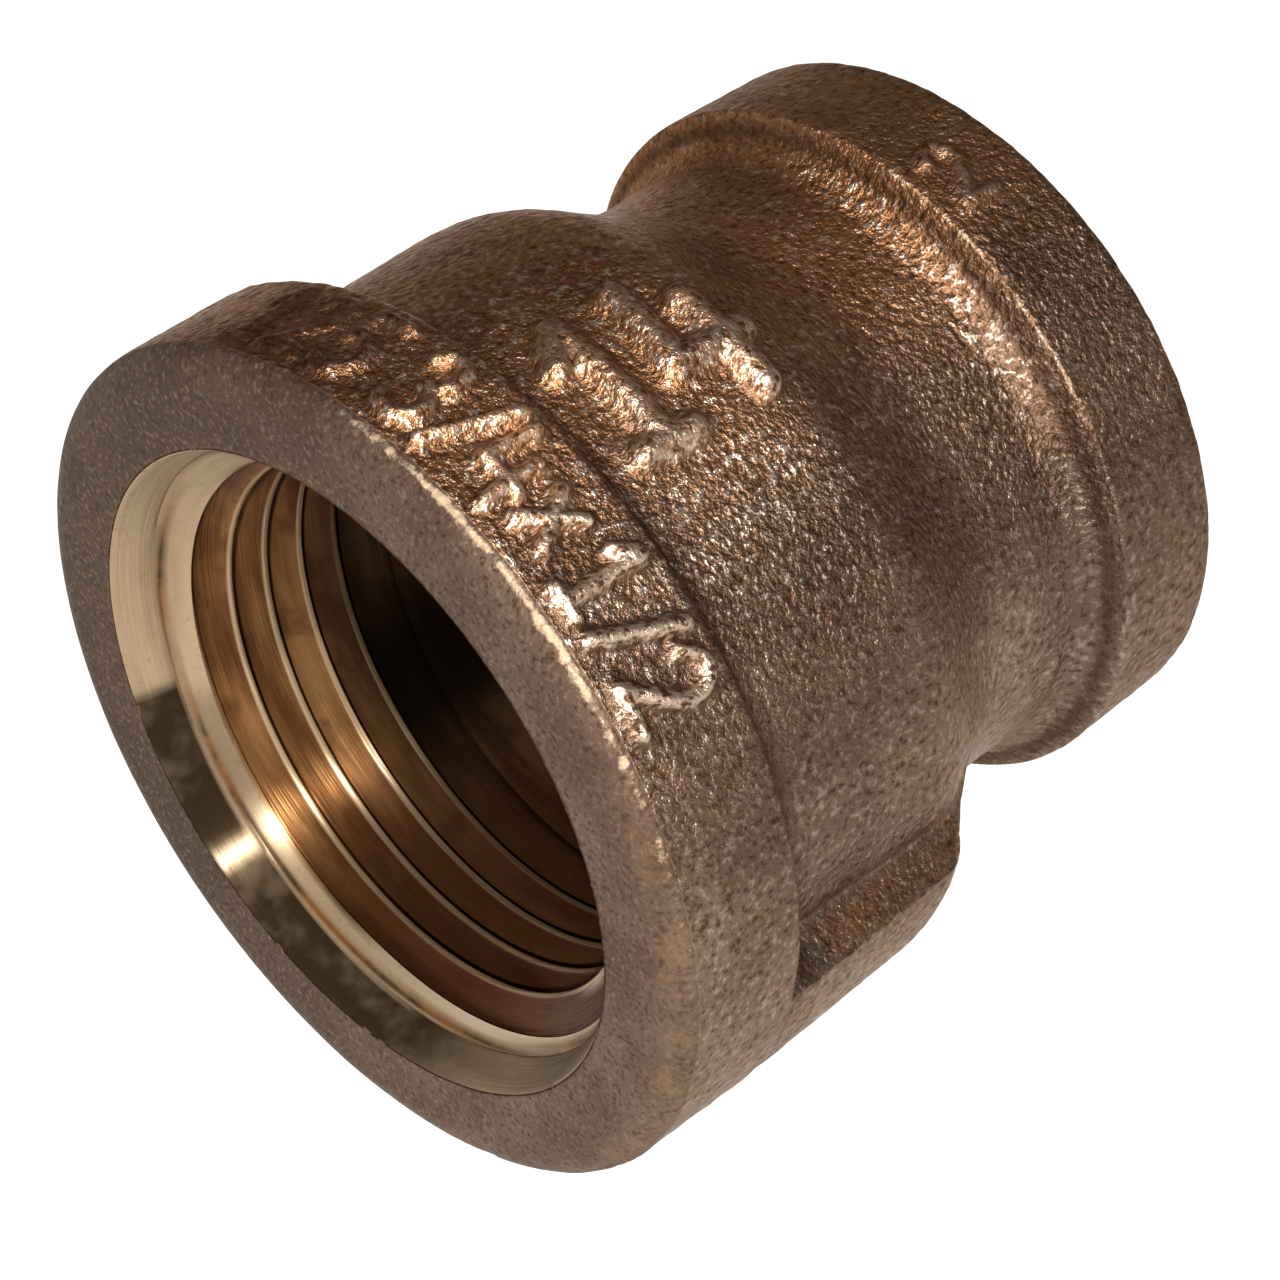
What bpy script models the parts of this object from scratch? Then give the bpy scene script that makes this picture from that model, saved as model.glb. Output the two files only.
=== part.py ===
"""Reducing coupling, 3/4 x 1/2 inch NPT, cast bronze.

One sand casting: a wide band around the large mouth, a nearly straight body,
a rounded shoulder, a waist that flares out to the narrower band of the small
mouth, and one long wrench rib.  Both mouths are countersunk and carry a real
right-hand tapered pipe thread that runs out before the plain passage between
the two sockets.

Units are metres.  The bore axis is the X axis, the large mouth faces -X, the
origin is on the axis half way along the fitting, and +Z is up.
"""
import math

import bpy
import bmesh

MM = 0.001

# ---------------------------------------------------------------- driving sizes
LENGTH = 33.20 * MM           # face to face
BAND_R = 18.32 * MM           # large band, outer radius
SMALL_R = 15.26 * MM          # small band, outer radius at its inner edge
SMALL_END_R = 15.10 * MM      # the same band at the end face, after its draft
BODY_R = 16.30 * MM           # body between the band and the shoulder
WAIST_R = 13.55 * MM          # narrowest outer radius

BAND_W = 6.50 * MM            # large band, width along the axis
SMALL_BAND_W = 5.30 * MM      # small band, width along the axis
MOUTH_ROUND = 1.15 * MM       # rounded outer edge of the large mouth

# 3/4 NPT at the large mouth and 1/2 NPT at the small one, both 14 threads an inch
PITCH = 25.4 / 14 * MM
TAPER = 1.0 / 32.0            # radius lost per unit of depth (1 in 16 on diameter)
FLANK = math.tan(math.radians(30.0))
ROOT_FLAT = 0.08 * MM
CREST_FLAT = 0.22 * MM
BIG_ROOT_R = 13.29 * MM       # radius of the thread root at the large face
SMALL_ROOT_R = 10.61 * MM     # radius of the thread root at the small face
THREAD_DEPTH = ((PITCH - CREST_FLAT) / 2 - ROOT_FLAT / 2) / FLANK
BIG_CREST_R = BIG_ROOT_R - THREAD_DEPTH
SMALL_CREST_R = SMALL_ROOT_R - THREAD_DEPTH
BIG_THREAD_L = 12.8 * MM      # depth at which the thread has run out
SMALL_THREAD_L = 11.6 * MM

# countersinks at the two mouths
BIG_SINK_R, BIG_SINK_INNER_R, BIG_SINK_L = 14.08 * MM, 13.55 * MM, 1.70 * MM
SMALL_SINK_R, SMALL_SINK_INNER_R, SMALL_SINK_L = 11.60 * MM, 10.90 * MM, 1.20 * MM

PASSAGE_R = 8.70 * MM         # plain cored passage between the sockets

# wrench rib
RIB_ANGLE = math.radians(205.0)   # from +Y towards +Z
RIB_HALF_W = 4.75 * MM            # half width at the crown
RIB_DRAFT = 0.40                  # extra half width per unit of depth below the crown
RIB_FOOT_R = 14.90 * MM           # buried inside the body wall

SEGMENTS = 48                 # facets round the axis, shared by every surface

MOUTH_X = -LENGTH / 2
END_X = LENGTH / 2


# ---------------------------------------------------------------- housekeeping
def clear_scene():
    for ob in list(bpy.data.objects):
        bpy.data.objects.remove(ob, do_unlink=True)
    for block in (bpy.data.meshes, bpy.data.materials, bpy.data.collections):
        for item in list(block):
            block.remove(item)


def collection(name):
    col = bpy.data.collections.new(name)
    bpy.context.scene.collection.children.link(col)
    return col


def material(name, colour, roughness, metallic):
    mat = bpy.data.materials.new(name)
    mat.use_nodes = True
    shader = mat.node_tree.nodes["Principled BSDF"]
    shader.inputs["Base Color"].default_value = (*colour, 1.0)
    shader.inputs["Roughness"].default_value = roughness
    shader.inputs["Metallic"].default_value = metallic
    return mat


def mesh_object(name, bm, col):
    bmesh.ops.recalc_face_normals(bm, faces=bm.faces)
    mesh = bpy.data.meshes.new(name)
    bm.to_mesh(mesh)
    bm.free()
    ob = bpy.data.objects.new(name, mesh)
    col.objects.link(ob)
    return ob


# ---------------------------------------------------------------- the casting's section
def arc(cx, cr, radius, start_deg, end_deg, steps):
    """Points of a round, as (distance along the axis, radius), angles from +axis towards +radius."""
    out = []
    for k in range(steps + 1):
        a = math.radians(start_deg + (end_deg - start_deg) * k / steps)
        out.append((cx + radius * math.cos(a), cr + radius * math.sin(a)))
    return out


def outer_section():
    """The outside, from the large face to the small face, x measured from the large face."""
    pts = arc(MOUTH_ROUND, BAND_R - MOUTH_ROUND, MOUTH_ROUND, 180, 90, 5)
    pts += arc(BAND_W - 0.45 * MM, BAND_R - 0.45 * MM, 0.45 * MM, 90, 15, 3)  # back edge of the band
    foot = 1.15 * MM                                                       # fillet down to the body
    pts += arc(BAND_W + 0.25 * MM + foot, BODY_R - 0.02 * MM + foot, foot, 195, 270, 3)
    pts += [(14.90 * MM, BODY_R + 0.04 * MM)]
    # rounded shoulder, falling to the waist
    pts += [(x * MM, r * MM) for x, r in (
        (15.75, 16.31), (16.40, 16.24), (16.95, 16.09), (17.45, 15.88),
        (18.05, 15.54), (19.40, 14.74), (20.40, 14.22), (21.35, 13.86), (22.35, 13.64))]
    pts += [(23.65 * MM, WAIST_R), (25.15 * MM, WAIST_R)]
    # flare up to the back of the small band
    back = LENGTH - SMALL_BAND_W
    rise = SMALL_R - 0.45 * MM - WAIST_R
    for t, s in ((0.30, 0.07), (0.55, 0.22), (0.75, 0.44), (0.90, 0.70), (1.0, 1.0)):
        pts.append((25.15 * MM + (back - 25.15 * MM) * t, WAIST_R + rise * s))
    pts += arc(back + 0.28 * MM, SMALL_R - 0.28 * MM, 0.28 * MM, 160, 90, 2)
    pts += arc(LENGTH - 0.22 * MM, SMALL_END_R - 0.22 * MM, 0.22 * MM, 90, 0, 3)
    return pts


def bore_section():
    """The bore, from the small face back to the large face."""
    def big_crest(x):
        return BIG_CREST_R - TAPER * x

    def small_crest(x):
        return SMALL_CREST_R - TAPER * (LENGTH - x)

    pts = [(LENGTH, SMALL_SINK_R), (LENGTH - SMALL_SINK_L, SMALL_SINK_INNER_R)]
    step = (SMALL_SINK_INNER_R - SMALL_CREST_R) * 0.85
    x = LENGTH - SMALL_SINK_L - step
    pts += [(x, small_crest(x))]
    x = LENGTH - SMALL_THREAD_L - 0.5 * MM
    pts += [(x, small_crest(x)), (x - 0.5 * MM, PASSAGE_R)]
    # core shoulder between the passage and the large socket
    pts += [(18.1 * MM, PASSAGE_R), (17.3 * MM, PASSAGE_R + 0.35 * MM),
            (15.0 * MM, 10.9 * MM), (14.1 * MM, big_crest(14.1 * MM))]
    x = BIG_SINK_L + (BIG_SINK_INNER_R - BIG_CREST_R) * 0.85
    pts += [(x, big_crest(x)), (BIG_SINK_L, BIG_SINK_INNER_R), (0.0, BIG_SINK_R)]
    return pts


def casting_blank(col):
    """The section turned about the X axis."""
    section = [(MOUTH_X + x, r) for x, r in outer_section() + bore_section()]
    bm = bmesh.new()
    verts = [bm.verts.new((x, r, 0.0)) for x, r in section]
    for a, b in zip(verts, verts[1:] + verts[:1]):
        bm.edges.new((a, b))
    mesh = bpy.data.meshes.new("coupling_casting")
    bm.to_mesh(mesh)
    bm.free()
    ob = bpy.data.objects.new("coupling_casting", mesh)
    col.objects.link(ob)
    turn = ob.modifiers.new("turned", "SCREW")
    turn.axis = "X"
    turn.angle = 2 * math.pi
    turn.steps = turn.render_steps = SEGMENTS
    turn.use_merge_vertices = True
    turn.merge_threshold = 0.00001
    turn.use_normal_calculate = True
    return ob


# ---------------------------------------------------------------- wrench rib
def rib(col):
    """A rib from the band to the shoulder: crown flush with the band, drafted sides, sloping end."""
    crown = [(x * MM, r * MM) for x, r in (
        (5.05, 18.14), (7.45, 18.08), (9.95, 17.99), (12.95, 17.89), (15.65, 17.80),
        (16.15, 17.63), (16.60, 17.25), (17.15, 16.60), (17.75, 15.85), (18.45, 15.05))]
    across = (-1.0, -0.86, -0.45, 0.0, 0.45, 0.86, 1.0)
    bm = bmesh.new()
    rows = []
    for x, top in crown:
        row = []
        for k in across:
            # the crown follows a cylinder, and its two long edges are eased
            r = top - (0.22 * MM if abs(k) == 1.0 else 0.0)
            a = RIB_ANGLE + k * math.asin(RIB_HALF_W / r)
            row.append((x, r, a))
        depth = top - RIB_FOOT_R
        half = RIB_HALF_W + RIB_DRAFT * max(depth, 0.0)
        wide = math.asin(half / RIB_FOOT_R)
        low = min(RIB_FOOT_R, top - 0.3 * MM)
        row = [(x, low, RIB_ANGLE - wide)] + row + [(x, low, RIB_ANGLE + wide)]
        rows.append([bm.verts.new((MOUTH_X + px, pr * math.cos(pa), pr * math.sin(pa)))
                     for px, pr, pa in row])
    n = len(rows[0])
    for a, b in zip(rows, rows[1:]):
        for k in range(n):
            bm.faces.new((a[k], a[(k + 1) % n], b[(k + 1) % n], b[k]))
    bm.faces.new(rows[0])
    bm.faces.new(list(reversed(rows[-1])))
    bmesh.ops.triangulate(bm, faces=bm.faces)
    return mesh_object("rib_stock", bm, col)


# ---------------------------------------------------------------- tapered taps
def tap(name, col, face_x, inward, root_r, crest_r, length):
    """A right-hand tapered tap: one helical ridge, with a run-out over its last turn."""
    lead_in = 1.2 * PITCH
    below = 0.35 * MM
    stations = int(round((length + lead_in) / PITCH * SEGMENTS))
    runout = SEGMENTS
    half_wide = (PITCH - CREST_FLAT) / 2
    bm = bmesh.new()
    rings = []
    for i in range(stations + 1):
        depth = -lead_in + PITCH * i / SEGMENTS
        # seen from either mouth a right-hand thread turns clockwise as it goes in
        a = 2 * math.pi * i / SEGMENTS
        left = (stations - i) / runout
        full = min(1.0, 0.12 + 0.88 * left)
        low = crest_r - below - TAPER * depth
        ring = []
        for h, w in ((THREAD_DEPTH + below, -ROOT_FLAT / 2), (THREAD_DEPTH + below, ROOT_FLAT / 2),
                     (below, half_wide), (0.0, half_wide), (0.0, -half_wide), (below, -half_wide)):
            r = low + h * full
            x = face_x + inward * (depth + w)
            ring.append(bm.verts.new((x, r * math.cos(inward * a), r * math.sin(inward * a))))
        rings.append(ring)
    for p, q in zip(rings, rings[1:]):
        for k in range(6):
            j = (k + 1) % 6
            bm.faces.new((p[k], p[j], q[j], q[k]))
    bm.faces.new(rings[0])
    bm.faces.new(list(reversed(rings[-1])))
    bmesh.ops.triangulate(bm, faces=bm.faces)
    return mesh_object(name, bm, col)


def boolean(ob, name, other, operation):
    mod = ob.modifiers.new(name, "BOOLEAN")
    mod.operation = operation
    mod.solver = "EXACT"
    mod.object = other


def settle(ob, mat):
    """Replace the modifier stack by its result and shade it: round surfaces smooth, edges crisp."""
    graph = bpy.context.evaluated_depsgraph_get()
    mesh = bpy.data.meshes.new_from_object(ob.evaluated_get(graph))
    ob.modifiers.clear()
    ob.data = mesh
    mesh.name = ob.name
    mesh.materials.clear()
    mesh.materials.append(mat)
    mesh.shade_smooth()
    mesh.set_sharp_from_angle(angle=math.radians(32.0))


def main():
    clear_scene()
    parts = collection("reducing_coupling")
    cutters = collection("cutters")

    bronze = material("cast_bronze", (0.36, 0.215, 0.125), 0.52, 0.85)

    casting = casting_blank(parts)
    casting.data.materials.append(bronze)

    stock = rib(cutters)
    tap_big = tap("tap_three_quarter", cutters, MOUTH_X, 1.0, BIG_ROOT_R, BIG_CREST_R, BIG_THREAD_L)
    tap_small = tap("tap_half", cutters, END_X, -1.0, SMALL_ROOT_R, SMALL_CREST_R, SMALL_THREAD_L)
    for ob in (stock, tap_big, tap_small):
        ob.hide_render = True
        ob.display_type = "WIRE"

    boolean(casting, "rib", stock, "UNION")
    boolean(casting, "thread_large", tap_big, "DIFFERENCE")
    boolean(casting, "thread_small", tap_small, "DIFFERENCE")
    settle(casting, bronze)


main()
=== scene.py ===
"""Looks of the reducing coupling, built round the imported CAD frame.

One closed high-resolution casting stands for the CAD node: the same section and the same
helical threads, with softer cast edges, foundry unevenness, generic raised numerals, and
procedural materials for the cast skin, the blasted end faces and the machined bores.
Lengths below are millimetres measured from the large mouth, turned into metres at the end.
"""
import math

import bmesh
import bpy
import numpy as np
from mathutils import Matrix, Vector


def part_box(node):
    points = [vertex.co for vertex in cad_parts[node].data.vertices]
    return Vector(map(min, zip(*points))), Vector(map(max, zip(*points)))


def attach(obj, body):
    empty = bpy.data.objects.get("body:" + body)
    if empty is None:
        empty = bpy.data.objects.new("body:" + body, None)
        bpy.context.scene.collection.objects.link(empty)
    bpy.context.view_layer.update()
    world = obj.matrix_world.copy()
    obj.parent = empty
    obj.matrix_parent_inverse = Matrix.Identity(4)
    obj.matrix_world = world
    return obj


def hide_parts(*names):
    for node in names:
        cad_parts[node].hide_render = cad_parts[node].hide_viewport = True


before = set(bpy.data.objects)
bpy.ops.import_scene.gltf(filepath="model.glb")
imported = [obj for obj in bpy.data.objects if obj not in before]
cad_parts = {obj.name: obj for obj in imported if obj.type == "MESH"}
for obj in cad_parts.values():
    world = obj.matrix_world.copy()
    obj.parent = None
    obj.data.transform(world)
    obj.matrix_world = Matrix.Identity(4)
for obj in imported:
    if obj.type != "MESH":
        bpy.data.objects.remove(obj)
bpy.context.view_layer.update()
NODE = "coupling_casting"
low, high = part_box(NODE)

MM = 0.001
MOUTH_X = low.x
LENGTH = (high.x - low.x) / MM            # 33.2
BAND_R = (high.z - low.z) / 2 / MM        # 18.3
SMALL_R, SMALL_END_R = 15.26, 15.10
BODY_R, WAIST_R = 16.30, 13.55
BAND_W, SMALL_BAND_W = 6.50, 5.30
RIM_R = 14.08                             # countersink at the large face
SMALL_RIM_R = 11.60
PITCH = 25.4 / 14
TAPER = 1 / 32
RIB_ANGLE = math.radians(205.0)
RIB_HALF_W = 4.75
PASSAGE_R = 8.70

rng = np.random.default_rng(20)


# ------------------------------------------------------------------ helpers
def smooth01(t):
    t = np.clip(t, 0.0, 1.0)
    return t * t * (3 - 2 * t)


def smooth_max(a, b, k):
    """The larger of two lengths, with a fillet of about k where they cross."""
    h = np.clip(0.5 + 0.5 * (a - b) / k, 0, 1)
    return b + (a - b) * h + k * h * (1 - h)


def arc(cx, cr, radius, start, end, steps):
    t = np.radians(np.linspace(start, end, steps + 1))
    return [(cx + radius * math.cos(a), cr + radius * math.sin(a)) for a in t]


class Field:
    """A smooth random field made of plane waves, one wavelength in mm."""

    def __init__(self, wavelength, waves=40):
        d = rng.normal(size=(waves, 3))
        d /= np.linalg.norm(d, axis=1)[:, None]
        self.k = d * (2 * math.pi / (wavelength * rng.uniform(0.7, 1.45, waves)))[:, None]
        self.p = rng.uniform(0, 2 * math.pi, waves)

    def __call__(self, pts):
        out = np.zeros(pts.shape[:-1])
        for k, p in zip(self.k, self.p):
            out += np.cos(pts @ k + p)
        return out * math.sqrt(2 / len(self.p))


# ------------------------------------------------------------------ outside section
def outer_section():
    """Points (x, r) from the rim of the large mouth to the rim of the small mouth."""
    face = [(0.0, RIM_R + 0.16 + t) for t in np.linspace(0, 16.68 - RIM_R - 0.16, 13)]
    edge = arc(2.30, 16.68, 2.30, 180, 140, 9)[1:]
    cx, cr = edge[-1]
    # the corner where the face turns into the band
    rr = 0.45
    ccx = cx + rr * math.cos(math.radians(40))
    ccr = cr - rr * math.sin(math.radians(40))
    scale = BAND_R - (ccr + rr)
    corner = arc(ccx, ccr + scale, rr, 140, 90, 6)[1:]
    band = [(x, BAND_R) for x in np.arange(corner[-1][0] + 0.2, BAND_W - 0.62, 0.19)]
    back = arc(BAND_W - 0.55, BAND_R - 0.55, 0.55, 90, 18, 7)
    foot_r = 1.25
    foot = arc(BAND_W + 0.12 + foot_r, BODY_R - 0.02 + foot_r, foot_r, 198, 268, 9)
    # body, shoulder, waist and flare: a soft curve through the stations
    keys = [(8.0, 16.285), (11.5, 16.30), (14.90, 16.34), (15.75, 16.31), (16.40, 16.24), (16.95, 16.09),
            (17.45, 15.88), (18.05, 15.54), (19.40, 14.74), (20.40, 14.22), (21.35, 13.86),
            (22.35, 13.64), (23.65, WAIST_R), (25.15, WAIST_R)]
    end = LENGTH - SMALL_BAND_W
    # the flare: a hollow of 2.2 mm that gets steep just before the lip of the small band
    flare_x, flare_r = 25.76, 2.20
    keys += [(flare_x + flare_r * math.sin(a), WAIST_R + flare_r * (1 - math.cos(a)))
             for a in np.radians(np.arange(8, 73, 4.0))]
    flare_end = keys[-1]
    kx, kr = np.array(keys).T
    fine = np.arange(kx[0], kx[-1] + 1e-9, 0.04)
    r = np.interp(fine, kx, kr)
    pad = 12
    ext = np.concatenate([r[:1].repeat(pad), r, r[-1] + (r[-1] - r[-2]) * np.arange(1, pad + 1)])
    w = np.exp(-0.5 * (np.arange(-pad, pad + 1) / 5.0) ** 2)
    soft_r = np.convolve(ext, w / w.sum(), "valid")
    r = np.where(fine > 26.2, r, soft_r)
    rows = np.concatenate([np.arange(8.0, 18.6, 0.20), np.arange(18.6, 25.6, 0.27), np.arange(25.6, 27.0, 0.16),
                           np.arange(27.0, flare_end[0], 0.10)])
    soft = [(x, float(np.interp(x, fine, r))) for x in rows]
    lip = arc(end + 0.22, SMALL_R - 0.22, 0.22, 166, 92, 6)
    small = []
    for x in np.arange(end + 0.45, LENGTH - 0.45, 0.22):
        t = (x - end) / SMALL_BAND_W
        small.append((x, SMALL_R + (SMALL_END_R - SMALL_R) * t))
    far = arc(LENGTH - 0.32, SMALL_END_R - 0.32, 0.32, 88, 0, 5)
    end_face = [(LENGTH, r) for r in np.linspace(SMALL_END_R - 0.32, SMALL_RIM_R + 0.14, 12)[1:]]
    return np.array(face + edge + corner + band + back + foot + soft + lip + small + far + end_face)


def section_normals(sec):
    d = np.gradient(sec, axis=0)
    d /= np.linalg.norm(d, axis=1)[:, None]
    return np.stack([-d[:, 1], d[:, 0]], 1)       # to the left of travel is outwards here


# ------------------------------------------------------------------ angles round the axis
# finer on the side with the raised numerals
step_fine, step_rest = math.radians(0.5), math.radians(1.2)
a0, a1 = math.radians(36), math.radians(222)
n_fine = int(round((a1 - a0) / step_fine))
n_rest = int(round((2 * math.pi - (a1 - a0)) / step_rest))
theta = np.concatenate([np.linspace(a0, a1, n_fine, endpoint=False),
                        np.linspace(a1, a0 + 2 * math.pi, n_rest, endpoint=False)])
theta = np.sort(np.mod(theta, 2 * math.pi))
N = len(theta)
cos_t, sin_t = np.cos(theta), np.sin(theta)


# ------------------------------------------------------------------ raised numerals
def ell(cx, cy, rx, ry, start, end, steps=10):
    t = np.radians(np.linspace(start, end, steps + 1))
    return [(cx + rx * math.cos(a), cy + ry * math.sin(a)) for a in t]


GLYPHS = {      # in a box 0.6 wide and 1 high
    "1": [[(0.12, 0.76), (0.34, 1.0), (0.34, 0.0)], [(0.14, 0.0), (0.54, 0.0)]],
    "2": [ell(0.30, 0.72, 0.27, 0.28, 165, -35) + [(0.03, 0.0), (0.60, 0.0)]],
    "3": [ell(0.28, 0.75, 0.25, 0.25, 150, -90), ell(0.28, 0.25, 0.29, 0.25, 90, -150)],
    "4": [[(0.10, 1.0), (0.02, 0.36), (0.60, 0.36)], [(0.46, 0.72), (0.46, 0.0)]],
    "5": [[(0.54, 1.0), (0.10, 1.0), (0.07, 0.55)] + ell(0.28, 0.31, 0.29, 0.31, 118, -150)],
    "6": [ell(0.30, 0.29, 0.27, 0.29, 0, 360, 16), [(0.035, 0.33), (0.12, 0.66), (0.42, 1.0)]],
    "7": [[(0.02, 1.0), (0.58, 1.0), (0.22, 0.0)]],
    "/": [[(0.02, -0.02), (0.46, 1.02)]],
    "x": [[(0.04, 0.16), (0.50, 0.74)], [(0.04, 0.74), (0.50, 0.16)]],
}


def segments(text, height, advance, start):
    """Stroke segments of a line of numerals in mm, and the length of the line."""
    out = []
    u = start
    for ch in text:
        if ch == " ":
            u += advance * 0.42
            continue
        for line in GLYPHS[ch]:
            pts = [(u + px * height * 0.86, py * height) for px, py in line]
            out += list(zip(pts, pts[1:]))
        u += advance * (0.80 if ch == "/" else 1.0)
    return out, u


def stroke_distance(u, v, segs):
    best = np.full(u.shape, 99.0)
    for (ax, ay), (bx, by) in segs:
        dx, dy = bx - ax, by - ay
        t = np.clip(((u - ax) * dx + (v - ay) * dy) / (dx * dx + dy * dy + 1e-12), 0, 1)
        best = np.minimum(best, np.hypot(u - ax - t * dx, v - ay - t * dy))
    return best


def relief(d, reach, height):
    """A rounded bead along each stroke: full height on its line, nothing at its reach."""
    t = np.clip(d / reach, 0, 1)
    return height * 0.5 * (1 + np.cos(math.pi * t ** 1.25))


def raised_marks(x, th, wobble):
    """Height of the raised numerals over the skin in mm, and how close the skin is to one."""
    deg = np.degrees(th)
    h = np.zeros(x.shape)
    skirt = np.zeros(x.shape)
    # round the large band, feet of the numerals towards the mouth
    u = np.radians(deg - 64.0) * BAND_R
    segs, _ = segments("125 3/4x1/2", 3.70, 2.55, 0.0)
    v = x - 1.70
    near = (u > -2) & (u < 28) & (x < BAND_W) & (x > 0.8)
    d = stroke_distance(u[near], v[near], segs) + wobble[near] * 0.03
    h[near] = relief(d, 0.52, 0.54)
    skirt[near] = np.exp(-(np.clip(d - 0.30, 0, None) / 0.50) ** 2)
    # on the body, read along the axis
    u = x - 8.75
    v = np.radians(114.3 - deg) * BODY_R
    segs, _ = segments("14", 6.3, 4.30, 0.0)
    near = (x > 7.4) & (x < 17.6) & (deg > 84) & (deg < 123)
    d = stroke_distance(u[near], v[near], segs) + wobble[near] * 0.05
    h[near] = np.maximum(h[near], relief(d, 1.05, 0.74))
    skirt[near] = np.maximum(skirt[near], np.exp(-(np.clip(d - 0.60, 0, None) / 0.60) ** 2))
    # one on the small band
    u = x - 29.15
    v = np.radians(107.2 - deg) * SMALL_R
    segs, _ = segments("2", 3.0, 2.2, 0.0)
    near = (x > 28.4) & (x < 32.6) & (deg > 90) & (deg < 112)
    d = stroke_distance(u[near], v[near], segs) + wobble[near] * 0.03
    h[near] = np.maximum(h[near], relief(d, 0.52, 0.34))
    skirt[near] = np.maximum(skirt[near], 0.7 * np.exp(-(np.clip(d - 0.30, 0, None) / 0.40) ** 2))
    return h, skirt


# ------------------------------------------------------------------ outside surface
sec = outer_section()
nor = section_normals(sec)
X = np.repeat(sec[:, :1], N, 1)
R = np.repeat(sec[:, 1:], N, 1)
TH = np.repeat(theta[None], len(sec), 0)
pts = np.stack([X, R * cos_t, R * sin_t], -1)

# the wrench rib grows out of the body and dies into the shoulder
crown_keys = np.array([(4.6, 18.28), (7.5, 18.25), (10.0, 18.18), (13.0, 18.06), (15.0, 17.97), (15.6, 17.88),
                       (16.05, 17.72), (16.5, 17.38), (17.0, 16.86), (17.6, 16.33), (18.2, 15.80), (18.8, 15.32),
                       (19.4, 14.86), (20.2, 14.26), (21.2, 13.5)])
crown = np.interp(X, crown_keys[:, 0], crown_keys[:, 1])
off = np.abs(np.angle(np.exp(1j * (TH - RIB_ANGLE)))) * 17.9
side = np.clip(off - RIB_HALF_W + 0.18, 0, None)
rib_r = crown - side * 2.15 - 0.06 * (off / RIB_HALF_W) ** 4
on_body = (X > 5.9) & (X < 21.3)
blend_k = 0.03 + 0.39 * smooth01((X - BAND_W - 0.2) / 0.8)
R_rib = smooth_max(R, rib_r, blend_k)
R_new = np.where(on_body, R_rib, R)
rib_gain = R_new - R
R = R_new

wob = Field(1.6)(pts)
marks, skirt = raised_marks(X, TH, wob)
# the band's numerals fade out towards the upper edge
marks = marks * (1 - 0.62 * smooth01((97.2 - np.degrees(TH)) / 26) * (X < BAND_W))
big, mid, fine_f, tiny = Field(9.0), Field(3.2), Field(1.3), Field(0.62)
pts = np.stack([X, R * cos_t, R * sin_t], -1)
# the finest unevenness only where the mesh is fine enough to carry it
seen = smooth01((np.degrees(TH) - 37) / 8) * smooth01((221 - np.degrees(TH)) / 8)
skin = 0.007 * big(pts) + 0.006 * mid(pts) + (0.007 * fine_f(pts) + 0.006 * tiny(pts)) * seen
# the blasted faces are flatter than the skin
is_face = (sec[:, 0] < 0.35) | (sec[:, 0] > LENGTH - 0.05)
quiet = np.where(is_face, 0.42, 1.0)[:, None]
rim_fade = smooth01(np.minimum(np.arange(len(sec)), np.arange(len(sec))[::-1]) / 4.0)[:, None]
disp = skin * quiet * rim_fade + marks
# a small foundry blemish on the neck
bl = np.exp(-(((X - 25.9) / 0.55) ** 2 + ((np.degrees(TH) - 189.5) / 3.4) ** 2))
disp = disp + bl * 0.22 * (0.6 + 0.5 * fine_f(pts))
# nicks along the mouth's outer edge
edge_i = int(np.argmax(sec[:, 1] >= BAND_R - 0.02))
arc_len = np.concatenate([[0], np.cumsum(np.hypot(*np.diff(sec, axis=0).T))])
from_edge = np.abs(arc_len - arc_len[edge_i - 2])[:, None]
disp = disp - 0.10 * np.exp(-(from_edge / 0.35) ** 2) * smooth01(fine_f(pts) - 0.9)
PX = X + nor[:, :1] * disp
PR = R + nor[:, 1:] * disp
outer = np.stack([PX, PR * cos_t, PR * sin_t], -1)

# what the materials need to know about each point
edge_wear = np.exp(-(from_edge / 0.30) ** 2)
back_i = int(np.argmax(sec[:, 0] >= LENGTH - SMALL_BAND_W)) + 3
# painted highlight: a thin bright line along the back edge of the small band's lip
lip_painted_highlight = np.exp(-(np.abs(arc_len - arc_len[back_i])[:, None] / 0.15) ** 2) * np.ones((1, N))
lip_hollow = np.exp(-(np.abs(sec[:, 0] - (LENGTH - SMALL_BAND_W - 0.30))[:, None] / 0.27) ** 2) * np.ones((1, N))
band_back_i = int(np.argmax(sec[:, 0] >= BAND_W - 0.2))
band_edge = np.exp(-(np.abs(arc_len - arc_len[band_back_i])[:, None] / 0.5) ** 2) * np.ones((1, N))
groove = np.exp(-(np.abs(sec[:, 0] - (BAND_W + 0.80))[:, None] / 0.95) ** 2) * np.ones((1, N))
# painted shade gathered in the hollows: behind the band, round the numerals, along the rib and under the lip; also a
# painted darker stripe along the length about 118° round from the upper edge, and painted shade over the small band
rib_foot = np.exp(-((off - RIB_HALF_W - 0.95) / 0.42) ** 2) * smooth01((X - 6.3) / 0.8) * smooth01((19.5 - X) / 2.5)
rib_pocket = np.clip(1.8 * np.exp(-((off - RIB_HALF_W - 0.80) / 1.10) ** 2 - ((X - 7.35) / 0.80) ** 2), 0, 1)
flush = smooth01(rib_gain / 0.9) * smooth01((RIB_HALF_W + 0.1 - off) / 0.3)
rib_flank = smooth01((off - RIB_HALF_W + 0.35) / 0.3) * smooth01((RIB_HALF_W + 0.75 - off) / 0.3) * smooth01((X - 8.2) / 0.8) * smooth01((17.6 - X) / 0.8)
painted_hollow_shade = np.maximum.reduce([groove * (1 - 0.85 * flush), 0.45 * skirt * (1 - np.clip(marks / 0.22, 0, 1)), 0.40 * rib_foot,
                            rib_pocket, 0.85 * lip_hollow,
                            0.26 * np.exp(-(((np.degrees(TH) - 37.2) - 118) / 24) ** 2) * (sec[:, :1] > 2.6),
                            0.34 * smooth01((X - LENGTH + SMALL_BAND_W - 0.35) / 0.4)])


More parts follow.
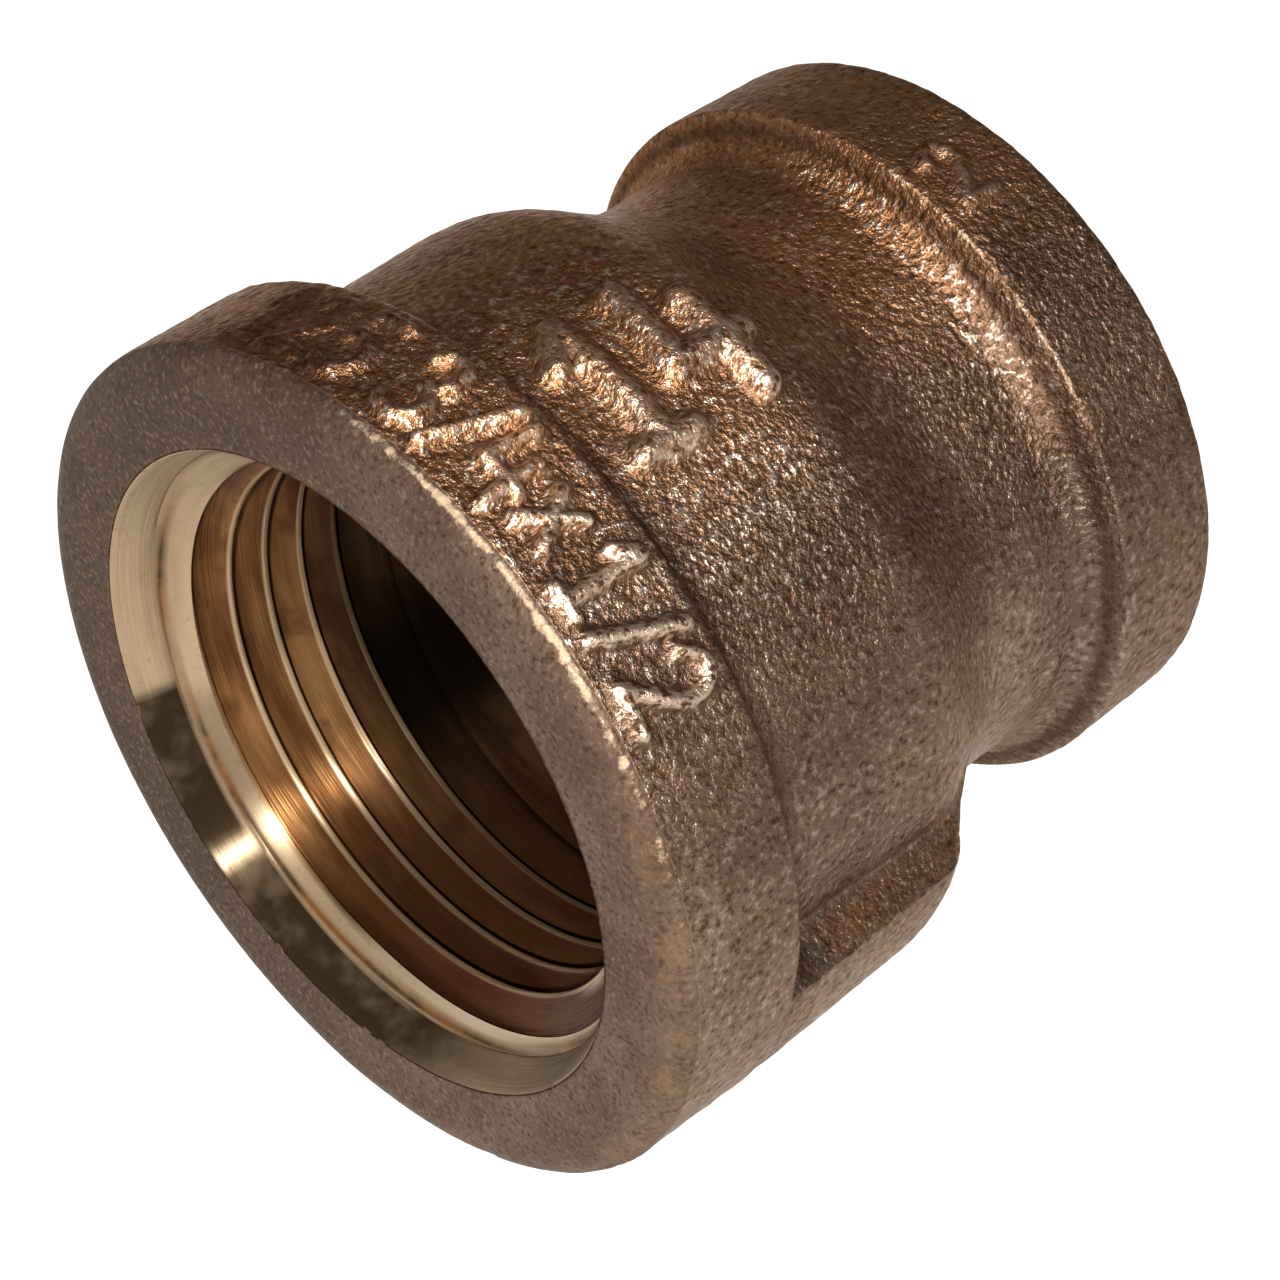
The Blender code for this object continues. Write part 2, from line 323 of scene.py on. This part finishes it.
# ------------------------------------------------------------------ bores with real helices
def bore(face_r, face_in_r, sink_l, sink_blend, root, crest, cut_depth, length, hand):
    """Rows of points from the face inwards: depth, radius.  The rows follow the helix."""
    depth_t = root - crest
    half = (PITCH - 0.15) / 2
    slope = depth_t / (half - 0.04)
    w = [-0.04, 0.04, 0.28, 0.52, half - 0.10, half - 0.03, half + 0.03, PITCH / 2,
         PITCH - half - 0.03, PITCH - half + 0.03, PITCH - half + 0.10, PITCH - 0.52, PITCH - 0.28]
    m = len(w)
    turns = int(math.ceil(length / PITCH)) + 3
    q = np.array([k * PITCH + o for k in range(-2, turns) for o in w])
    ang = theta if hand > 0 else 2 * math.pi - theta
    shift = ang / (2 * math.pi) * PITCH - 0.2 * PITCH
    D = np.clip(q[:, None] + shift[None], 0.0, length)
    # groove
    near = np.abs(np.mod(D - shift[None] + PITCH / 2, PITCH) - PITCH / 2)
    taper = -TAPER * D
    g = root + taper - np.clip(near - 0.04, 0, None) * slope
    left = (cut_depth - D) / PITCH
    fade = np.clip(0.12 + 0.88 * left, 0, 1)
    g = g - (1 - fade) * (depth_t + 0.25)
    wall = crest + taper
    r = smooth_max(wall, g, 0.05)
    # countersink: a steep cone at the face, then a shallow-angled lead into the thread
    sink = np.interp(D, [0, 0.20, sink_l, sink_l + 0.10, sink_l + 0.26, sink_l + 0.36, sink_l + 0.5 + sink_blend],
                     [face_r + 0.02, face_r - 0.13, face_in_r, face_in_r + 0.10, face_in_r + 0.06, face_in_r - 0.16, crest - 0.15])
    r = np.maximum(r, sink)
    return D, r, sink, m


RIM_L = 1.70
big_D, big_R, big_sinkR, big_m = bore(RIM_R + 0.14, 13.55, RIM_L, 1.20, 13.29, 11.86, 12.8, 14.1, 1)
small_D, small_R, small_sinkR, small_m = bore(SMALL_RIM_R + 0.12, 10.95, 1.15, 1.05, 10.61, 9.18, 11.6, 12.2, -1)


# ------------------------------------------------------------------ one closed mesh
verts, faces, mats = [], [], []
SKIN, CUT, CORE = 0, 1, 2


def add_rows(grid):
    first = len(verts)
    verts.extend(map(tuple, grid.reshape(-1, 3)))
    return first + np.arange(grid.shape[0] * grid.shape[1]).reshape(grid.shape[:2])


def ring_points(x, r):
    return np.stack([x, r * cos_t, r * sin_t], -1)


i_out = add_rows(outer)
i_big = add_rows(ring_points(big_D, big_R))
i_small = add_rows(ring_points(LENGTH - small_D, small_R))
pass_keys = [(14.5, 11.25), (15.2, 10.72), (16.0, 10.06), (16.8, 9.42), (17.5, 8.96), (18.2, 8.73),
             (19.2, PASSAGE_R), (20.3, PASSAGE_R)]
P = np.array(pass_keys)
core = ring_points(np.repeat(P[:, :1], N, 1), np.repeat(P[:, 1:], N, 1))
core_n = core * np.array([0.2, 1, 1])
core = core + core_n / np.linalg.norm(core_n, axis=-1, keepdims=True) * (0.10 * mid(core) + 0.05 * fine_f(core))[..., None]
i_core = add_rows(core)


def close_plain(idx, mat):
    for i in range(len(idx) - 1):
        for j in range(N):
            k = (j + 1) % N
            faces.append((idx[i, j], idx[i, k], idx[i + 1, k], idx[i + 1, j]))
            mats.append(mat)


def close_helix(idx, m, mat):
    rows = len(idx)
    for i in range(rows - 1):
        for j in range(N - 1):
            faces.append((idx[i, j], idx[i, j + 1], idx[i + 1, j + 1], idx[i + 1, j]))
            mats.append(mat)
        # across angle zero the rows move on by one turn
        k = i + m
        if 0 <= k and k + 1 < rows:
            faces.append((idx[i, N - 1], idx[k, 0], idx[k + 1, 0], idx[i + 1, N - 1]))
            mats.append(mat)


close_plain(i_out, SKIN)
close_helix(i_big, big_m, CUT)
close_helix(i_small, -small_m, CUT)
close_plain(i_core, CORE)
for a, b in ((i_big[-1], i_core[0]), (i_small[-1], i_core[-1]), (i_out[0], i_big[0]), (i_out[-1], i_small[0])):
    for j in range(N):
        k = (j + 1) % N
        faces.append((a[j], a[k], b[k], b[j]))
        mats.append(CORE if a is i_big[-1] or a is i_small[-1] else CUT)

V = np.array(verts)
V[:, 0] = V[:, 0] * MM + MOUTH_X
V[:, 1:] *= MM
mesh = bpy.data.meshes.new("reducing_coupling_casting")
mesh.from_pydata(V.tolist(), [], [tuple(int(q) for q in f) for f in faces])
mesh.polygons.foreach_set("material_index", np.array(mats, np.int32))


def point_attribute(name, rows_of):
    full = np.zeros(len(V), np.float32)
    for idx, val in rows_of:
        full[idx.ravel()] = np.broadcast_to(val, idx.shape).ravel()
    a = mesh.attributes.new(name, "FLOAT", "POINT")
    a.data.foreach_set("value", full)


phi = np.degrees(TH) - 37.2                       # nought on the upper edge, 90 on the side towards the viewer
near_side = smooth01((phi - 35) / 35) * (0.12 + 0.88 * smooth01((138 - phi) / 50))
face_mask = 1 - smooth01((sec[:, 0] - 0.75) / 0.3)
face_mask = np.maximum(face_mask, smooth01((sec[:, 0] - LENGTH + 0.2) / 0.15))
point_attribute("face", [(i_out, face_mask[:, None] * np.ones((1, N)))])
# rubbed edges: real wear, made stronger on the side facing the lamp as a painted highlight, and a painted highlight
# along the small band's lip
point_attribute("edge", [(i_out, np.maximum(edge_wear * (0.25 + 0.75 * near_side), np.maximum(lip_painted_highlight * 0.85 * near_side, band_edge * 0.10)))])
point_attribute("mark", [(i_out, np.clip(marks / 0.5, 0, 1.2))])
# painted shade in the hollows, in a stripe along one side and over the small band
point_attribute("painted_shade", [(i_out, painted_hollow_shade)])
point_attribute("rusty", [(i_out, np.maximum(smooth01((np.cos(np.radians(phi - 10)) - 0.10) / 0.62), 0.60 * rib_flank))])
# painted reflection of the pale floor: the skin lighter and greyer towards the underside, less on the rib's flanks
point_attribute("painted_floor_reflection", [(i_out, smooth01((np.cos(np.radians(phi - 200)) + 0.25) / 1.05) * (1 - 0.9 * rib_flank))])
# painted highlight: lighter grain tips on the side facing the lamp, most on the body and in a strip on the flare where
# the lamp's highlight falls, and on the rib's flanks
facing = smooth01((phi - 25) / 30) * smooth01((116 - phi) / 34)
painted_flare_highlight = np.exp(-((X - 26.85) / 0.55) ** 2)
body_zone = smooth01((16.5 - X) / 3.0)
point_attribute("painted_sparkle", [(i_out, np.maximum(0.36 * rib_flank, facing * (0.38 + 0.62 * body_zone + 1.0 * painted_flare_highlight)
                                                       * (1 - 0.7 * smooth01((X - LENGTH + SMALL_BAND_W - 0.35) / 0.4))))])
# lighter and darker patches, partly the oxide's own tone and partly painted light: the light patches near 83° on the
# side facing the lamp are painted highlight, the dark ones towards the upper edge and in the lip's hollow painted
# shade: place along the axis, place round it, spread, spread, strength
TONE_AND_LIGHT_PATCHES = [(12.8, 83, 3.2, 12, 0.46), (12.8, 102, 3.5, 8, -0.30), (13.5, 24, 4.0, 14, -0.28), (19.3, 83, 1.5, 16, 0.38),
          (23.2, 48, 2.0, 16, 0.28), (22.6, 92, 1.8, 20, 0.14), (22.4, 134, 2.2, 14, 0.36), (27.0, 113, 1.0, 10, -0.48),
          (27.0, 137, 1.0, 14, -0.36), (30.3, 46, 2.2, 18, 0.24), (30.2, 87, 2.2, 16, -0.20), (29.6, 150, 2.2, 16, 0.20),
          (4.5, 152, 3.0, 12, 0.06), (3.7, 97, 2.2, 12, 0.16), (4.8, 73, 1.8, 14, 0.26), (1.5, 21, 1.2, 22, -0.34)]
tone_and_painted_light = np.zeros(X.shape)
for px, pa, sx, sa, amount in TONE_AND_LIGHT_PATCHES:
    tone_and_painted_light += amount * np.exp(-((X - px) / sx) ** 2 - ((phi - pa) / sa) ** 2)
# painted shade darkens the numerals on the upper side, and a painted highlight lightens the band's numerals on the side
# facing the lamp
raised = np.clip(marks / 0.35, 0, 1)
tone_and_painted_light += raised * (0.34 * (X < BAND_W) * np.exp(-((phi - 80) / 24) ** 2) - 0.60 * smooth01((62 - phi) / 22) * (X < BAND_W)
                    - 0.55 * smooth01((62 - phi) / 22) * (X >= BAND_W)) - 0.06 * rib_flank
point_attribute("tone_and_painted_light", [(i_out, np.exp(tone_and_painted_light))])
point_attribute("grit", [(i_out, (1 - 0.48 * smooth01((phi - 110) / 26)) * (1 - 0.35 * smooth01((52 - phi) / 26)) * (1 - 0.35 * raised))])
point_attribute("depth", [(i_big, big_D / 12.0), (i_small, small_D / 12.0)])
# a tan zone on the mouth's round-over, strongest on the lower side
rim_zone = np.exp(-((arc_len - arc_len[edge_i] + 0.70) / 0.85) ** 2)[:, None]
low_part = smooth01((phi - 96) / 30) * smooth01((196 - phi) / 20)
point_attribute("rim", [(i_out, rim_zone * (0.10 + 0.90 * low_part))])
# painted shade: the end faces darker towards the upper side
point_attribute("painted_face_shade", [(i_out, smooth01(0.5 + 0.9 * np.cos(TH - math.radians(5))))])
# the countersink and the smooth lead-in before the first full crest
big_sink = smooth01((0.10 - (big_R - big_sinkR)) / 0.09) * smooth01((3.6 - big_D) / 0.3)
small_sink = smooth01((0.10 - (small_R - small_sinkR)) / 0.09) * smooth01((2.8 - small_D) / 0.3)
point_attribute("sink", [(i_big, big_sink), (i_small, small_sink)])
# a painted dark reflection on the countersink, mottled like oil stains, and painted shade in the corner between its two
# steps
turn_deg = np.repeat(np.degrees(theta)[None], len(big_D), 0)
dark_reflection_zone = smooth01((341.5 - turn_deg) / 3.0) * (0.50 + 0.50 * smooth01((turn_deg - 238) / 24)) * smooth01((turn_deg - 200) / 20)
# a gap in the painted dark reflection at the angle of the lamp's glint, so that the glint shows there
dark_reflection_zone = dark_reflection_zone * (1 - 0.74 * np.exp(-((turn_deg - 307.8) / 2.0) ** 2))
# the painted dark reflection reaches onto the lead-in above the glint
lead_dark_reflection = 0.50 * smooth01((341 - turn_deg) / 8) * smooth01((turn_deg - 306) / 12) * smooth01((big_D - 1.78) / 0.10)
point_attribute("painted_dark_reflection", [(i_big, np.maximum(dark_reflection_zone * smooth01((1.78 - big_D) / 0.10), lead_dark_reflection))])
# painted reflection: the lead-in lighter towards the lower side
point_attribute("painted_light_reflection", [(i_big, smooth01((276 - turn_deg) / 30) * smooth01((turn_deg - 190) / 20) * smooth01((big_D - 2.08) / 0.12))])
point_attribute("lead", [(i_big, np.exp(-((big_D - 1.99) / 0.10) ** 2)), (i_small, np.exp(-((small_D - 1.44) / 0.10) ** 2))])
# painted shade: thread flanks darker on the lower side and, less, on the upper side
high = smooth01((np.cos(np.radians(turn_deg - 20)) - 0.55) / 0.40)
point_attribute("painted_flank_shade", [(i_big, np.maximum(smooth01((312 - turn_deg) / 34) * smooth01((turn_deg - 185) / 25), 0.30 * high))])
tr_big = np.clip((big_R - (11.86 - TAPER * big_D)) / 1.43, 0, 1)
tr_small = np.clip((small_R - (9.18 - TAPER * small_D)) / 1.43, 0, 1)
point_attribute("root", [(i_big, tr_big), (i_small, tr_small)])

bm = bmesh.new()
bm.from_mesh(mesh)
bmesh.ops.remove_doubles(bm, verts=bm.verts, dist=2e-6)
bmesh.ops.dissolve_degenerate(bm, edges=bm.edges, dist=1e-7)
loose = [v for v in bm.verts if not v.link_faces]
bmesh.ops.delete(bm, geom=loose, context="VERTS")
bmesh.ops.recalc_face_normals(bm, faces=bm.faces)
open_edges = sum(1 for e in bm.edges if len(e.link_faces) != 2)
bm.to_mesh(mesh)
bm.free()
print("casting mesh", len(mesh.polygons), "faces, open or doubled edges", open_edges)
mesh.shade_smooth()
mesh.set_sharp_from_angle(angle=math.radians(55))
casting = bpy.data.objects.new("reducing_coupling_casting", mesh)
bpy.context.scene.collection.objects.link(casting)


# ------------------------------------------------------------------ materials
class Nodes:
    def __init__(self, name):
        self.mat = bpy.data.materials.new(name)
        self.mat.use_nodes = True
        self.t = self.mat.node_tree
        self.shader = self.t.nodes["Principled BSDF"]
        self.coord = self.t.nodes.new("ShaderNodeTexCoord").outputs["Object"]

    def put(self, socket, value):
        if isinstance(value, bpy.types.NodeSocket):
            self.t.links.new(value, socket)
        elif isinstance(value, (tuple, list)):
            socket.default_value = (*value, 1.0) if len(socket.default_value) == 4 and len(value) == 3 else value
        else:
            socket.default_value = value

    def attribute(self, name):
        n = self.t.nodes.new("ShaderNodeAttribute")
        n.attribute_name = name
        return n.outputs["Fac"]

    def noise(self, size_mm, detail=2.0, rough=0.5, stretch=None, distortion=0.0):
        vec = self.coord
        if stretch:
            m = self.t.nodes.new("ShaderNodeMapping")
            m.inputs["Scale"].default_value = stretch
            self.t.links.new(vec, m.inputs["Vector"])
            vec = m.outputs["Vector"]
        n = self.t.nodes.new("ShaderNodeTexNoise")
        n.inputs["Scale"].default_value = 1000.0 / size_mm
        n.inputs["Detail"].default_value = detail
        n.inputs["Roughness"].default_value = rough
        n.inputs["Distortion"].default_value = distortion
        self.t.links.new(vec, n.inputs["Vector"])
        return n.outputs["Fac"]

    def cells(self, size_mm, out="Distance", feature="F1", smooth=0.0):
        n = self.t.nodes.new("ShaderNodeTexVoronoi")
        n.feature = feature
        n.inputs["Scale"].default_value = 1000.0 / size_mm
        if feature == "SMOOTH_F1":
            n.inputs["Smoothness"].default_value = smooth
        self.t.links.new(self.coord, n.inputs["Vector"])
        return n.outputs[out]

    def math(self, op, a, b=0.0, c=None, clamp=False):
        n = self.t.nodes.new("ShaderNodeMath")
        n.operation = op
        n.use_clamp = clamp
        self.put(n.inputs[0], a)
        self.put(n.inputs[1], b)
        if c is not None:
            self.put(n.inputs[2], c)
        return n.outputs[0]

    def span(self, value, a, b, c=0.0, d=1.0, smooth=True):
        n = self.t.nodes.new("ShaderNodeMapRange")
        n.interpolation_type = "SMOOTHSTEP" if smooth else "LINEAR"
        self.put(n.inputs["Value"], value)
        for key, v in zip(("From Min", "From Max", "To Min", "To Max"), (a, b, c, d)):
            n.inputs[key].default_value = v
        return n.outputs["Result"]

    def mix(self, fac, a, b, blend="MIX"):
        n = self.t.nodes.new("ShaderNodeMix")
        n.data_type = "RGBA"
        n.blend_type = blend
        self.put(n.inputs["Factor"], fac)
        self.put(n.inputs[6], a)
        self.put(n.inputs[7], b)
        return n.outputs[2]

    def bump(self, height, distance_mm, strength=1.0, normal=None):
        n = self.t.nodes.new("ShaderNodeBump")
        n.inputs["Distance"].default_value = distance_mm * MM
        n.inputs["Strength"].default_value = strength
        self.put(n.inputs["Height"], height)
        if normal is not None:
            self.put(n.inputs["Normal"], normal)
        return n.outputs["Normal"]


def cast_skin(name, inside=False):
    """Sand-cast bronze: brown oxide, a coarse grain with a painted sparkle on the side facing the lamp, rubbed edges
    partly painted as a highlight, painted shade in the hollows and a painted reflection of the floor underneath; the
    end faces are duller, with painted shade on their upper side.
    """
    n = Nodes(name)
    grain = n.noise(0.34, 4.0, 0.62)
    sand = n.cells(0.27, feature="SMOOTH_F1", smooth=0.4)
    fine = n.noise(0.12, 1.0, 0.5)
    blotch = n.noise(4.2, 3.0, 0.6)
    speck = n.noise(0.24, 2.0, 0.55)
    face, edge, mark = n.attribute("face"), n.attribute("edge"), n.attribute("mark")
    rusty, painted_floor_reflection, painted_sparkle = n.attribute("rusty"), n.attribute("painted_floor_reflection"), n.attribute("painted_sparkle")
    painted_shade, rim = n.attribute("painted_shade"), n.attribute("rim")

    brown = n.mix(n.span(blotch, 0.35, 0.68), (0.120, 0.070, 0.043), (0.175, 0.105, 0.066))
    rust = n.mix(n.span(blotch, 0.35, 0.68), (0.225, 0.102, 0.046), (0.310, 0.150, 0.070))
    # painted reflection of the pale floor, lighter and greyer on the underside
    floor_reflection_grey = n.mix(n.span(blotch, 0.32, 0.66), (0.138, 0.097, 0.071), (0.188, 0.137, 0.101))
    base = n.mix(painted_floor_reflection, n.mix(rusty, brown, rust), floor_reflection_grey)
    # lighter grain tips everywhere, with a painted highlight on the side facing the lamp
    grain_tips_and_glints = n.math("MULTIPLY", n.span(grain, 0.52, 0.67), n.math("MULTIPLY_ADD", painted_sparkle, 0.62, 0.26))
    base = n.mix(grain_tips_and_glints, base, (0.64, 0.532, 0.432))
    holes = n.span(grain, 0.47, 0.34)
    base = n.mix(n.math("MULTIPLY", holes, 0.75), base, (0.034, 0.017, 0.009))
    # painted shade darkens the colour in the hollows
    base = n.mix(n.math("MULTIPLY", painted_shade, 0.92), base, (0.040, 0.020, 0.011))
    # rubbed lighter tops of the numerals: real wear and partly a painted highlight, less on the upper side
    worn_and_highlight = n.math("MULTIPLY", n.span(n.math("MULTIPLY", mark, n.span(grain, 0.36, 0.56)), 0.15, 0.75),
                  n.math("MULTIPLY_ADD", rusty, -0.36, 0.58))
    base = n.mix(worn_and_highlight, base, (0.52, 0.400, 0.305))

    # patches of tone, partly painted highlight and painted shade
    base = n.mix(1.0, base, n.attribute("tone_and_painted_light"), blend="MULTIPLY")

    dull = n.mix(n.span(blotch, 0.34, 0.66), (0.068, 0.041, 0.028), (0.100, 0.064, 0.045))
    # painted shade on the upper side of the end faces
    dull = n.mix(n.math("MULTIPLY", n.attribute("painted_face_shade"), 0.56), dull, (0.026, 0.015, 0.008))
    dull = n.mix(n.math("MULTIPLY", n.span(speck, 0.56, 0.68), 0.38), dull, (0.18, 0.135, 0.10))
    dull = n.mix(n.math("MULTIPLY", n.span(speck, 0.46, 0.34), 0.75), dull, (0.026, 0.016, 0.011))
    face_soft = n.span(n.math("ADD", face, n.math("MULTIPLY_ADD", grain, 0.5, -0.25)), 0.35, 0.65)
    base = n.mix(face_soft, base, dull)
    base = n.mix(n.math("MULTIPLY", rim, n.span(n.noise(1.6, 3.0, 0.6), 0.40, 0.66, 0.12, 0.50)), base, (0.165, 0.102, 0.055))

    # rubbed edges lighter, partly real wear and partly painted highlight
    rub_and_highlight = n.span(n.math("ADD", edge, n.math("MULTIPLY_ADD", n.noise(1.0, 4.0, 0.75), 2.8, -1.56)), 0.45, 0.95)
    base = n.mix(n.math("MULTIPLY", rub_and_highlight, 0.62), base, (0.52, 0.39, 0.26))
    n.put(n.shader.inputs["Base Color"], base)

    rough = n.span(grain, 0.34, 0.68, 0.45, 0.26, smooth=False)
    rough = n.math("ADD", rough, n.math("MULTIPLY", painted_shade, 0.14))
    rough = n.math("ADD", rough, n.math("MULTIPLY", n.math("MINIMUM", mark, 1.0), 0.03))
    rough = n.math("ADD", rough, n.math("MULTIPLY", face_soft, 0.16))
    rough = n.math("ADD", rough, n.math("MULTIPLY", rub_and_highlight, 0.06))
    n.put(n.shader.inputs["Roughness"], rough)
    n.put(n.shader.inputs["Metallic"], n.span(face_soft, 0.0, 1.0, 0.90, 0.40, smooth=False))
    n.shader.inputs["Specular IOR Level"].default_value = 0.15
    # oxide keeps the metal brown and dark where it is seen edge-on
    n.shader.inputs["Specular Tint"].default_value = (0.70, 0.58, 0.49, 1.0)

    height = n.math("MULTIPLY_ADD", sand, 0.30, n.math("MULTIPLY", grain, 1.15))
    height = n.math("MULTIPLY_ADD", fine, 0.15, height)
    amount = n.math("MULTIPLY", n.span(face_soft, 0.0, 1.0, 1.0, 0.50, smooth=False), n.attribute("grit"))
    n.put(n.shader.inputs["Normal"], n.bump(n.math("MULTIPLY", height, amount), 0.165, 1.0))
    return n.mat


def machined(name):
    """Turned bronze: a tan countersink with fine circular tool marks and painted reflections, thread crests lighter
    partly as a painted highlight, brown flanks, painted shade in the roots, on the sides and in the depths.
    """
    n = Nodes(name)
    root, depth, sink = n.attribute("root"), n.attribute("depth"), n.attribute("sink")
    painted_dark_reflection, lead, painted_flank_shade = n.attribute("painted_dark_reflection"), n.attribute("lead"), n.attribute("painted_flank_shade")
    turn = n.noise(0.13, 3.0, 0.65, stretch=(1.0, 0.012, 0.012))
    streak = n.noise(1.1, 3.0, 0.6, stretch=(1.0, 0.10, 0.10))
    stain_and_mottle = n.noise(3.0, 3.0, 0.6)
    dust = n.noise(0.30, 3.0, 0.6)
    flank = n.mix(n.span(streak, 0.32, 0.68), (0.075, 0.030, 0.011), (0.285, 0.142, 0.054))
    flank = n.mix(n.math("MULTIPLY", n.span(stain_and_mottle, 0.48, 0.66), 0.75), flank, (0.090, 0.036, 0.012))
    # painted shade darkens the flanks towards the thread roots
    flank = n.mix(n.math("MULTIPLY", n.span(root, 0.55, 1.0), 0.40), flank, (0.080, 0.032, 0.011))
    # painted shade on the flanks of the lower and upper sides
    flank = n.mix(n.math("MULTIPLY", painted_flank_shade, 0.86), flank, (0.056, 0.018, 0.006))
    # crest lines lighter gold, partly a painted highlight, fading with depth and dimmer on the shaded sides as painted
    # shade
    crest = n.math("MULTIPLY", n.span(root, 0.12, 0.03), n.span(depth, 0.93, 0.72))
    # painted shade: the thread flanks go nearly black with depth
    painted_depth_shade = n.math("MULTIPLY", n.span(depth, 0.36, 0.86), n.math("MULTIPLY_ADD", painted_flank_shade, -0.22, 1.0))
    flank = n.mix(painted_depth_shade, flank, (0.0016, 0.0009, 0.0006))
    gold = n.mix(n.math("MULTIPLY", crest, n.math("MULTIPLY_ADD", painted_flank_shade, -0.42, 0.86)), flank, (0.41, 0.300, 0.180))
    tan = n.mix(n.span(streak, 0.30, 0.70), (0.240, 0.172, 0.106), (0.320, 0.238, 0.152))
    tan = n.mix(n.math("MULTIPLY", n.span(dust, 0.56, 0.70), 0.35), tan, (0.17, 0.12, 0.07))
    # painted dark reflection on the countersink, mottled
    mottled_dark_reflection = n.math("MULTIPLY", painted_dark_reflection, n.span(stain_and_mottle, 0.36, 0.54, 0.88, 1.0))
    tan = n.mix(mottled_dark_reflection, tan, (0.019, 0.012, 0.006))
    # painted reflection lightens the lead-in on the lower side
    tan = n.mix(n.math("MULTIPLY", n.attribute("painted_light_reflection"), 0.55), tan, (0.50, 0.410, 0.300))
    # painted shade in the corner between the countersink's two steps, with orange streaks
    groove = n.mix(n.span(stain_and_mottle, 0.42, 0.60), (0.030, 0.017, 0.009), (0.15, 0.062, 0.020))
    tan = n.mix(lead, tan, groove)
    colour = n.mix(sink, gold, tan)
    n.put(n.shader.inputs["Base Color"], colour)
    rough = n.span(streak, 0.3, 0.7, 0.31, 0.36, smooth=False)
    rough = n.math("ADD", rough, n.math("MULTIPLY", n.math("MULTIPLY", painted_depth_shade, n.math("SUBTRACT", 1.0, crest)), 0.35))
    n.put(n.shader.inputs["Roughness"], n.math("ADD", rough, n.math("MULTIPLY", sink, 0.05)))
    n.put(n.shader.inputs["Metallic"], n.math("MULTIPLY", n.math("MULTIPLY", n.span(sink, 0.0, 1.0, 0.80, 0.55, smooth=False), n.math("MULTIPLY_ADD", mottled_dark_reflection, -0.60, 1.0)),
                                                n.math("MULTIPLY_ADD", n.math("MULTIPLY", painted_depth_shade, n.math("SUBTRACT", 1.0, crest)), -0.70, 1.0)))
    n.shader.inputs["Specular IOR Level"].default_value = 0.0
    # the turning marks run round the bore, so the gloss spreads along it
    n.shader.inputs["Anisotropic"].default_value = 0.95
    n.shader.inputs["Anisotropic Rotation"].default_value = 0.25
    tangent = n.t.nodes.new("ShaderNodeTangent")
    tangent.direction_type = "RADIAL"
    tangent.axis = "X"
    n.put(n.shader.inputs["Tangent"], tangent.outputs["Tangent"])
    n.put(n.shader.inputs["Normal"], n.bump(n.math("MULTIPLY", turn, n.math("MULTIPLY_ADD", sink, -0.62, 1.0)), 0.095, 1.0))
    return n.mat


def cored(name):
    """The rough cored passage between the sockets, nearly black with oil and shade."""
    n = Nodes(name)
    lump = n.noise(0.5, 3.0, 0.6)
    n.put(n.shader.inputs["Base Color"], n.mix(lump, (0.002, 0.0012, 0.0009), (0.006, 0.0035, 0.0025)))
    n.put(n.shader.inputs["Roughness"], n.span(lump, 0.3, 0.7, 0.75, 0.55, smooth=False))
    n.shader.inputs["Metallic"].default_value = 0.5
    n.shader.inputs["Specular IOR Level"].default_value = 0.1
    n.put(n.shader.inputs["Normal"], n.bump(lump, 0.15, 1.0))
    return n.mat


skin_mat = cast_skin("cast_bronze_skin")
cut_mat = machined("machined_bronze")
core_mat = cored("cored_bronze")
for m in (skin_mat, cut_mat, core_mat):
    mesh.materials.append(m)

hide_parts(NODE)
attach(casting, "root")

# ------------------------------------------------------------------ floor, light and camera
floor_mesh = bpy.data.meshes.new("floor")
fz = -BAND_R * MM - 0.00012
size = 3.0
floor_mesh.from_pydata([(-size, -size, fz), (size, -size, fz), (size, size, fz), (-size, size, fz)], [], [(0, 1, 2, 3)])
floor = bpy.data.objects.new("floor", floor_mesh)
bpy.context.scene.collection.objects.link(floor)
fm = Nodes("pale_floor")
fm.put(fm.shader.inputs["Base Color"], fm.mix(fm.noise(60.0, 2.0), (0.645, 0.645, 0.650), (0.655, 0.655, 0.660)))
fm.shader.inputs["Roughness"].default_value = 0.9
fm.shader.inputs["Specular IOR Level"].default_value = 0.1
floor_mesh.materials.append(fm.mat)

world = bpy.data.worlds.new("studio")
bpy.context.scene.world = world
world.use_nodes = True
world.node_tree.nodes["Background"].inputs["Color"].default_value = (1.0, 0.92, 0.84, 1.0)
world.node_tree.nodes["Background"].inputs["Strength"].default_value = 0.045

cam_data = bpy.data.cameras.new("camera")
cam_data.lens = 132.232
cam_data.sensor_width = 36.0
cam_data.clip_start = 0.01
cam = bpy.data.objects.new("camera", cam_data)
right = Vector((0.7160668, -0.6980318, 0.0))
up = Vector((0.4789563, 0.4913310, 0.7274577))
back = Vector((-0.5077886, -0.5209083, 0.6861525))
cam.matrix_world = Matrix(((right.x, up.x, back.x, MOUTH_X - 0.0813323),
                           (right.y, up.y, back.y, -0.0995715),
                           (right.z, up.z, back.z, 0.1281489),
                           (0, 0, 0, 1)))
bpy.context.scene.collection.objects.link(cam)
bpy.context.scene.camera = cam


def area(name, direction, distance, size, power, colour=(1, 1, 1)):
    d = Vector(direction).normalized()
    data = bpy.data.lights.new(name, "AREA")
    data.shape = "DISK"
    data.size = size
    data.energy = power
    data.color = colour
    ob = bpy.data.objects.new(name, data)
    ob.matrix_world = Matrix.Translation(d * distance) @ d.to_track_quat("Z", "Y").to_matrix().to_4x4()
    bpy.context.scene.collection.objects.link(ob)
    return ob


area("key", (-0.517, -0.5254, 0.6762), 1.40, 0.06, 54.0, (1.0, 0.98, 0.955))
area("soft_side", (-0.75, 0.10, 0.62), 1.60, 0.70, 0.2)

bpy.context.scene.view_settings.view_transform = "Standard"
bpy.context.scene.view_settings.look = "None"
